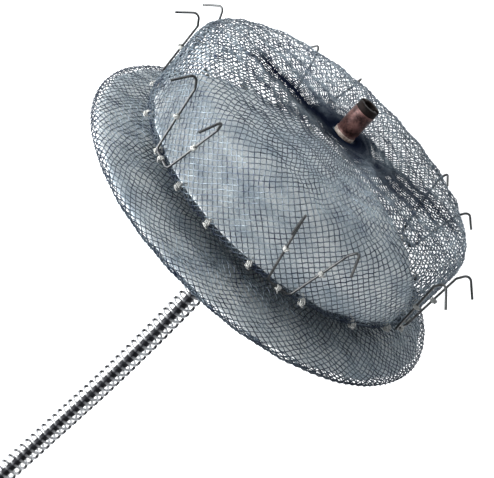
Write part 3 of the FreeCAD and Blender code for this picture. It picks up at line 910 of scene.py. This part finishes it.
def fold_in(points, fold, on_front):
    """Sinks the front along one fold and gathers its wires there; gives back their painted shade."""
    angle = math.radians(fold["angle_deg"])
    out = points[:, 0] * math.cos(angle) + points[:, 1] * math.sin(angle)
    across = points[:, 1] * math.cos(angle) - points[:, 0] * math.sin(angle)
    share = np.clip(out / fold["reach"], 0.0, 1.0)
    strength = (1 - share ** 2) * np.clip((out - fold["start"]) / FOLD_START_BLEND, 0.0, 1.0)
    near = np.exp(-np.abs(across) / fold["width"]) * strength * on_front
    gathered = fold["gather"] * np.exp(-(across / GATHER_WIDTH) ** 2) * strength * on_front * across
    points[:, 0] += gathered * math.sin(angle)
    points[:, 1] -= gathered * math.cos(angle)
    points[:, 2] -= fold["depth"] * near
    band_width = fold["shade_width"] * (FOLD_END_WIDTH + (1 - FOLD_END_WIDTH) * strength)
    band = np.clip(BAND_FULLNESS - np.abs(across - fold["shade_middle"]) / band_width, 0.0, 1.0)
    return band * np.clip(strength * BAND_FADE, 0.0, 1.0) * on_front * fold["shade"]


def waviness(points):
    """A smooth, fixed unevenness from a few sines, between -1 and 1, for each of x, y and z."""
    k = math.tau / UNEVENNESS_SPAN / 3
    x, y, z = points[:, 0] * k, points[:, 1] * k, points[:, 2] * k
    east = np.sin(1.7 * y + 0.6 * z + 1.1) * np.cos(1.3 * x - 2.1 * y + 0.4)
    north = np.sin(1.9 * x - 0.8 * z + 2.3) * np.cos(1.1 * y + 1.6 * x + 1.9)
    up = np.sin(1.5 * x + 1.4 * y + 0.7) * np.cos(2.2 * y - 0.9 * x + 2.8)
    return np.stack([east, north, up], axis=1)


def looseness(radius, is_lobe):
    """How far the wires may wander: freely on the disc and lobe, less at an edge or a clamp."""
    lobe_edge = LOBE_EDGE_CALM * np.clip(radius / LOBE_RADIUS, 0.0, 1.0) ** EDGE_CALM_POWER
    disc_edge = np.clip(radius / DISC_RADIUS, 0.0, 1.0) ** EDGE_CALM_POWER
    edge = np.where(is_lobe, lobe_edge, disc_edge)
    return (1 - edge) * np.clip((radius - CALM_RADIUS) / CALM_BLEND, 0.0, 1.0)


def bump_at(values, middle, width):
    """1 at a middle value, falling smoothly to 0 on both sides."""
    return np.exp(-((values - middle) / width) ** 2)


def shape_lines(mesh):
    """Gives the braid's lines their folds and unevenness, and a painted shade where shadow falls."""
    points = mesh_points(mesh)
    radius = np.hypot(points[:, 0], points[:, 1])
    height = points[:, 2].copy()
    is_lobe = height > WAIST_MIDDLE
    up_front = np.clip((height - (LOBE_FRONT - FRONT_BLEND)) / FRONT_BLEND, 0.0, 1.0)
    on_front = up_front * (radius > BUNDLE_RADIUS)
    # All these shades are painted shade: in the folds, round the clamp, at the disc's rim and in the crease.
    shades = [fold_in(points, fold, on_front) for fold in FOLDS]
    shades.append(CLAMP_SHADE * on_front * bump_at(radius, 0.0, CLAMP_SHADE_RADIUS))
    shades.append(RIM_SHADE * ~is_lobe * bump_at(radius, DISC_RADIUS, RIM_SHADE_WIDTH))
    crease = bump_at(radius, LOBE_RADIUS, CREASE_WIDTH) * bump_at(height, CREASE_HEIGHT, CREASE_DEPTH)
    shades.append(CREASE_SHADE * crease)
    points += waviness(points) * (UNEVENNESS * looseness(radius, is_lobe))[:, None]
    mesh.vertices.foreach_set("co", points.astype(np.float32).ravel())
    mesh.update()
    keep_shade(mesh, np.minimum(np.max(shades, axis=0), 1.0))


def add_braid():
    """The braid in four stretches, which meet at the disc's rim, the waist and the lobe's shoulder."""
    rows = braid_rows()
    radius, height = rows[1], rows[2]
    rim = int(np.argmax(radius))
    waist = int(np.argmax(height > WAIST_MIDDLE))
    shoulder = int(np.argmax(height > SHOULDER_START))
    last = len(radius) - 1
    stretches = (
        ("disc_back_braid", 0, rim),
        ("disc_front_braid", rim, waist),
        ("lobe_side_braid", waist, shoulder),
        ("lobe_front_braid", shoulder, last),
    )
    copies = {"Copies": WIRES_EACH_WAY, "Step": math.tau / WIRES_EACH_WAY}
    for name, first, end in stretches:
        lines = made_by(TURNED_COPIES, wire_pair(name, rows, first, end), copies)
        shape_lines(lines)
        mesh = round_wire(lines, WIRE_RADIUS, WIRE_SIDES)
        add_piece(name, in_row_frame(mesh), NITINOL, ["nitinol_braid"])


# Fabric patches.

def patch_point(share, angle, radius, height, pucker):
    """A point of a patch at a share of its radius. Between two stitches it draws in and lifts."""
    between = 0.5 - 0.5 * math.cos(EDGE_STITCHES * angle)
    reach = radius * share * (1 - PATCH_DRAW_IN * between * share ** 6)
    lift = pucker * between * share ** 5 * math.sin(3 * angle + 0.8)
    lift += PATCH_RIPPLE * math.sin(0.9 * reach + 2 * angle)
    return polar(reach, angle, height + lift)


def patch_mesh(name, radius, height, pucker):
    """A round cut of cloth, with its own weave map."""
    segments = SEGMENTS_PER_STITCH * EDGE_STITCHES
    bm = bmesh.new()
    centre = bm.verts.new((0, 0, height))
    rows = [
        [
            bm.verts.new(patch_point(ring / PATCH_RINGS, math.tau * k / segments, radius, height, pucker))
            for k in range(segments)
        ]
        for ring in range(1, PATCH_RINGS + 1)
    ]
    for k in range(segments):
        bm.faces.new((centre, rows[0][k], rows[0][(k + 1) % segments]))
    for low, high in zip(rows, rows[1:]):
        for k in range(segments):
            after = (k + 1) % segments
            bm.faces.new((low[k], high[k], high[after], low[after]))
    weave_map = bm.loops.layers.uv.new("weave")
    for face in bm.faces:
        for loop in face.loops:
            loop[weave_map].uv = (loop.vert.co.x, loop.vert.co.y)
    return in_row_frame(smooth_shaded(built_mesh(name, bm)))


def add_patch(name, node, radius, height, pucker):
    mesh = patch_mesh(name, radius, height, pucker)
    patch = add_piece(name, mesh, POLYESTER, [node])
    thickness = patch.modifiers.new("cloth thickness", "SOLIDIFY")
    thickness.thickness = PATCH_THICKNESS * MM
    thickness.offset = 0.0


# Hook wires and threads.

def hook_line(pair_angle_deg):
    """The corners of one hook wire, from tip to tip."""
    on_side = LOBE_RADIUS + HOOK_CLEARANCE + HOOK_WIRE_RADIUS
    widening = (HOOK_APEX_SPREAD_DEG - HOOK_BASE_SPREAD_DEG) / HOOK_APEX_HEIGHT
    lift_spread = HOOK_BASE_SPREAD_DEG + widening * HOOK_LIFT_HEIGHT
    half = [
        (on_side, HOOK_BASE_SPREAD_DEG, HOOK_BASE_HEIGHT),
        (on_side, lift_spread, HOOK_LIFT_HEIGHT),
        (LOBE_RADIUS + HOOK_APEX_REACH, HOOK_APEX_SPREAD_DEG, HOOK_APEX_HEIGHT),
        (LOBE_RADIUS + HOOK_TIP_REACH, HOOK_APEX_SPREAD_DEG, HOOK_TIP_HEIGHT),
    ]
    other_half = [(radius, -spread, height) for radius, spread, height in reversed(half)]
    return [
        polar(radius, math.radians(pair_angle_deg + spread), LOBE_EDGE + height)
        for radius, spread, height in other_half + half
    ]


def add_hook_wires():
    """The hook wires as one piece, which stands for all their nodes."""
    lines = [hook_line(angle) for angle in HOOK_PAIR_ANGLES_DEG]
    bends = {"Bend Radius": HOOK_BEND_RADIUS, "Bend Steps": HOOK_BEND_STEPS}
    mesh = round_wire(line_mesh("hook_wire_lines", lines), HOOK_WIRE_RADIUS, HOOK_WIRE_SIDES, bends)
    nodes = [f"hook_wire_{number}" for number in range(1, len(lines) + 1)]
    add_piece("hook_wires", in_row_frame(mesh), HOOK_NITINOL, nodes)


def thread_knot(middle, along, across, outward, reach):
    """Two turns of thread that rise out of a winding, and a short loose end."""
    knot = []
    for k in range(2 * KNOT_STEPS + 1):
        angle = math.tau * k / KNOT_STEPS
        swing = across * (KNOT_HALF_WIDTH * math.cos(angle)) + along * (KNOT_HALF_LENGTH * math.sin(angle))
        knot.append(middle + outward * (reach + THREAD_RADIUS + KNOT_RISE * k) + swing)
    end = knot[-1]
    for step_across, step_along, step_out in KNOT_LOOSE_END:
        knot.append(end + across * step_across + along * step_along + outward * step_out)
    return knot


def thread_turns(middle, along, outward, turns, width, reach):
    """Two lines: thread wound round an axis, and a small knot on the outside."""
    along = along.normalized()
    outward = (outward - along * outward.dot(along)).normalized()
    across = along.cross(outward)
    winding = []
    count = turns * THREAD_STEPS
    for k in range(count + 1):
        angle = math.tau * k / THREAD_STEPS
        place = middle + along * (width * (k / count - 0.5))
        winding.append(place + (outward * math.cos(angle) + across * math.sin(angle)) * reach)
    return [winding, thread_knot(middle, along, across, outward, reach)]


def add_thread(name, lines, replaced=()):
    mesh = round_wire(line_mesh(name, lines), THREAD_RADIUS, THREAD_SIDES)
    add_piece(name, in_row_frame(mesh), THREAD, replaced)


def add_ties():
    """Thread over the base and both legs of each hook wire."""
    lines = []
    leg_share = (TIE_HEIGHT - HOOK_BASE_HEIGHT) / (HOOK_LIFT_HEIGHT - HOOK_BASE_HEIGHT)
    reach = HOOK_WIRE_RADIUS + THREAD_RADIUS + TIE_CLEARANCE
    for angle_deg in HOOK_PAIR_ANGLES_DEG:
        left_lift, left_base, right_base, right_lift = hook_line(angle_deg)[2:6]
        outward = polar(1, math.radians(angle_deg), 0)
        middle = (left_base + right_base) / 2
        lines += thread_turns(middle, right_base - left_base, outward, TIE_TURNS, TIE_WIDTH, reach)
        for low, high in ((right_base, right_lift), (left_base, left_lift)):
            middle = low.lerp(high, leg_share)
            outward = Vector((middle.x, middle.y, 0))
            lines += thread_turns(middle, high - low, outward, TIE_TURNS, TIE_WIDTH, reach)
    add_thread("hook_wire_ties", lines, ["suture_ties"])


def add_edge_stitches():
    """The stitches that hold the lobe's patch to the braid, round the lobe's back edge."""
    lines = []
    for number in range(EDGE_STITCHES):
        angle = math.tau * (number + 0.5) / EDGE_STITCHES
        wander = STITCH_WANDER * math.sin(7.3 * number)
        along = polar(1, angle + math.pi / 2, STITCH_SLANT)
        outward = polar(1, angle, STITCH_LEAN)
        middle = polar(LOBE_RADIUS - STITCH_INSET, angle + wander, LOBE_EDGE + STITCH_RISE)
        lines += thread_turns(middle, along, outward, STITCH_TURNS, STITCH_WIDTH, STITCH_REACH)
        hold = polar(LOBE_PATCH_RADIUS - HOLD_INSET, angle + wander, LOBE_PATCH_HEIGHT + HOLD_RISE)
        start = middle + Vector((0, 0, STITCH_REACH))
        arch = middle.lerp(hold, STITCH_ARCH_SHARE) + Vector((0, 0, STITCH_ARCH))
        lines.append([start, arch, hold])
    add_thread("lobe_edge_stitches", lines)


# Clamps and screws.

def cut_away(mesh, cutter_mesh):
    """One mesh with the space of another cut out of it."""
    body = add_object("body_to_cut", mesh)
    cutter = add_object("cutter", cutter_mesh)
    cut = body.modifiers.new("cut", "BOOLEAN")
    cut.operation = "DIFFERENCE"
    cut.solver = "EXACT"
    cut.object = cutter
    result = evaluated_mesh(body)
    bpy.data.objects.remove(cutter)
    return result


def box_mesh(name, size, middle):
    bm = bmesh.new()
    bmesh.ops.create_cube(bm, size=1.0)
    for vert in bm.verts:
        vert.co = vert.co * Vector(size) + middle
    return built_mesh(name, bm)


def groove(radius, depth, slope, start, width):
    """(radius, height) points of a shallow groove with sloping sides."""
    end = start + width
    return [(radius, start), (radius - depth, start + slope), (radius - depth, end - slope), (radius, end)]


def thread_ridges(radius, depth, pitch, first, last):
    """(radius, height) points of a screw thread between two heights, as crests and roots."""
    points = []
    height = first
    while height < last - pitch * LAST_RIDGE:
        points.append((radius, height))
        points += [(radius - depth, height + pitch * share) for share in (ROOT_START, ROOT_END)]
        height += pitch
    return points + [(radius, height)]


def clamp_profile():
    """The clamp from the end of its bore, round its outside, to the bottom of its socket."""
    length = CLAMP_LENGTH
    return [
        (0.0, CLAMP_BORE_DEPTH), (CLAMP_BORE_RADIUS, CLAMP_BORE_DEPTH), (CLAMP_BORE_RADIUS, FINE_EDGE),
        (CLAMP_FOOT_RADIUS, 0.0), (CLAMP_RADIUS, WIDE_EDGE),
        *groove(CLAMP_RADIUS, CRIMP_DEPTH, WIDE_EDGE, CRIMP_START, CRIMP_WIDTH),
        (CLAMP_RADIUS, length - CLAMP_SLOT_DEPTH),
        (CLAMP_RADIUS, length - WIDE_EDGE), (CLAMP_RADIUS - WIDE_EDGE, length),
        (CLAMP_SOCKET_RADIUS + CLAMP_LIP_WIDTH, length), (CLAMP_SOCKET_RADIUS, length - SMALL_EDGE),
        (CLAMP_SOCKET_RADIUS, length - CLAMP_SOCKET_DEPTH),
        (0.0, length - CLAMP_SOCKET_DEPTH - CLAMP_SOCKET_CONE),
    ]


def clamp_face_material(place, base):
    """A clamp face's material: painted shade on the prongs and inside, pale cream at the foot."""
    height = place.z - base
    is_inside = math.hypot(place.x, place.y) < CLAMP_RADIUS - CLAMP_WALL
    if height > CLAMP_LENGTH - CLAMP_SLOT_DEPTH or is_inside:
        return PAINTED_SHADE_FACES
    return PALE_FOOT if height < CLAMP_PALE_FOOT_HEIGHT else WALL_FINISH


def add_distal_clamp():
    """The red-brown cup on the lobe's front: rounded edges, a crimped neck and a slotted end."""
    base = CLAMP_SEAT + HALF_WALL
    body = ring_mesh("clamp_body", clamp_profile(), TURNED_SEGMENTS, base)
    slot_middle = base + CLAMP_LENGTH - CLAMP_SLOT_DEPTH / 2 + SLOT_OVERCUT / 2
    slot_size = (3 * CLAMP_RADIUS, CLAMP_SLOT_WIDTH, CLAMP_SLOT_DEPTH + SLOT_OVERCUT)
    mesh = smooth_shaded(cut_away(body, box_mesh("slot", slot_size, Vector((0, 0, slot_middle)))))
    face_materials = [clamp_face_material(face.center, base) for face in mesh.polygons]
    mesh = in_row_frame(sharp_edged(mesh))
    add_piece("distal_clamp", mesh, BROWN_CLAMP, ["distal_end_clamp"])
    mesh.materials.append(PRONG_AND_INSIDE_SHADE)
    mesh.materials.append(PALE_CREAM_FOOT)
    mesh.polygons.foreach_set("material_index", face_materials)


def add_steel_fitting(name, node, profile):
    mesh = sharp_edged(ring_mesh(name, profile, TURNED_SEGMENTS))
    add_piece(name, in_row_frame(mesh), STEEL, [node])


def add_end_screw():
    """The threaded clamp behind the disc, open at the back for the cable's stud."""
    top = END_SCREW_SEAT - HALF_WALL
    back = top - END_SCREW_LENGTH
    bottom = back + STUD_LENGTH + SCREW_BORE_SPARE
    profile = [
        (0.0, bottom), (SCREW_BORE_RADIUS, bottom), (SCREW_BORE_RADIUS, back + FINE_EDGE),
        (SCREW_BORE_RADIUS + WIDE_EDGE, back), (SCREW_RADIUS - SCREW_BEVEL, back),
        (SCREW_RADIUS, back + SCREW_BEVEL),
        *thread_ridges(SCREW_RADIUS, SCREW_THREAD_DEPTH, SCREW_THREAD_PITCH,
                       back + SCREW_THREAD_START, top - SCREW_THREAD_END),
        (SCREW_RADIUS, top - SMALL_EDGE), (SCREW_RADIUS - SMALL_EDGE, top),
        (SCREW_NECK_RADIUS + FINE_EDGE, top),
        (SCREW_NECK_RADIUS, top - SCREW_NECK_LENGTH), (0.0, top - SCREW_NECK_LENGTH),
    ]
    add_steel_fitting("proximal_screw", "proximal_end_screw", profile)


def add_cable_tip():
    """The cable's end: a stud in the implant and a grooved collar that holds the wire."""
    seat = END_SCREW_SEAT - HALF_WALL - END_SCREW_LENGTH
    low = seat - CABLE_TIP_LENGTH
    stud_end = seat + STUD_LENGTH
    profile = [
        (0.0, low), (TIP_RADIUS - WIDE_EDGE, low), (TIP_RADIUS, low + WIDE_EDGE),
        *groove(TIP_RADIUS, GROOVE_DEPTH, SMALL_EDGE, low + TIP_BACK_GROOVE, GROOVE_WIDTH),
        *groove(TIP_RADIUS, GROOVE_DEPTH, SMALL_EDGE, seat - TIP_FRONT_GROOVE, GROOVE_WIDTH),
        (TIP_RADIUS, seat - SMALL_EDGE), (TIP_RADIUS - SMALL_EDGE, seat),
        (STUD_RADIUS - SMALL_EDGE, seat),
        *thread_ridges(STUD_RADIUS, STUD_THREAD_DEPTH, STUD_THREAD_PITCH,
                       seat + STUD_THREAD_INSET, stud_end - STUD_THREAD_INSET),
        (STUD_RADIUS - STUD_END_EDGE, stud_end), (0.0, stud_end),
    ]
    add_steel_fitting("cable_screw_end", "cable_screw_tip", profile)


# Floor, world and lamps.

def floor_material():
    """A pale floor that looks white to the camera and in gloss, and still takes the shadow."""
    material, tree, shader = new_material("pale_floor")
    set_values(shader, {"Base Color": FLOOR_COLOUR, "Roughness": FLOOR_ROUGHNESS, "Emission Color": WHITE})
    rays = add_node(tree, "ShaderNodeLightPath")
    seen = add_node(tree, "ShaderNodeMath", operation="ADD")
    glow = add_node(tree, "ShaderNodeMath", {1: FLOOR_GLOW}, operation="MULTIPLY")
    join(
        tree,
        (rays, "Is Camera Ray", seen, 0), (rays, "Is Glossy Ray", seen, 1), (seen, 0, glow, 0),
        (glow, 0, shader, "Emission Strength"),
    )
    return material


def add_floor():
    bm = bmesh.new()
    bmesh.ops.create_grid(bm, x_segments=1, y_segments=1, size=FLOOR_HALF_SIDE)
    mesh = built_mesh("floor", bm)
    mesh.transform(Matrix.Translation((0, 0, FLOOR * MM)))
    mesh.materials.append(floor_material())
    floor = add_object("floor", mesh)


def add_world():
    """White to the camera, and a dimmer, slightly cool light on the object."""
    world = bpy.data.worlds.new("plain_studio")
    world.use_nodes = True
    tree = world.node_tree
    light = tree.nodes["Background"]
    set_values(light, {"Color": SKY_COLOUR, "Strength": SKY_STRENGTH})
    white = add_node(tree, "ShaderNodeBackground", {"Color": WHITE, "Strength": 1.0})
    rays = add_node(tree, "ShaderNodeLightPath")
    choice = add_node(tree, "ShaderNodeMixShader")
    join(
        tree,
        (rays, "Is Camera Ray", choice, 0), (light, 0, choice, 1), (white, 0, choice, 2),
        (choice, 0, tree.nodes["World Output"], "Surface"),
    )
    bpy.context.scene.world = world


def add_lamp(name, place, size, power):
    """A square lamp that points at the implant, and that the camera doesn't see."""
    data = bpy.data.lights.new(name, "AREA")
    data.shape = "SQUARE"
    data.size = size
    data.energy = power
    lamp = add_object(name, data)
    lamp.location = place
    lamp.visible_camera = False
    lamp.rotation_euler = (-Vector(place)).to_track_quat("-Z", "Y").to_euler()


add_camera()
add_cable()
add_braid()
add_patch("disc_patch", "disc_fabric", DISC_PATCH_RADIUS, DISC_PATCH_HEIGHT, DISC_PATCH_PUCKER)
add_patch("lobe_patch", "lobe_fabric", LOBE_PATCH_RADIUS, LOBE_PATCH_HEIGHT, LOBE_PATCH_PUCKER)
add_hook_wires()
add_ties()
add_edge_stitches()
add_distal_clamp()
add_end_screw()
add_cable_tip()
add_floor()
add_world()
for lamp in LAMPS:
    add_lamp(*lamp)
bpy.context.scene.view_settings.view_transform = "Standard"
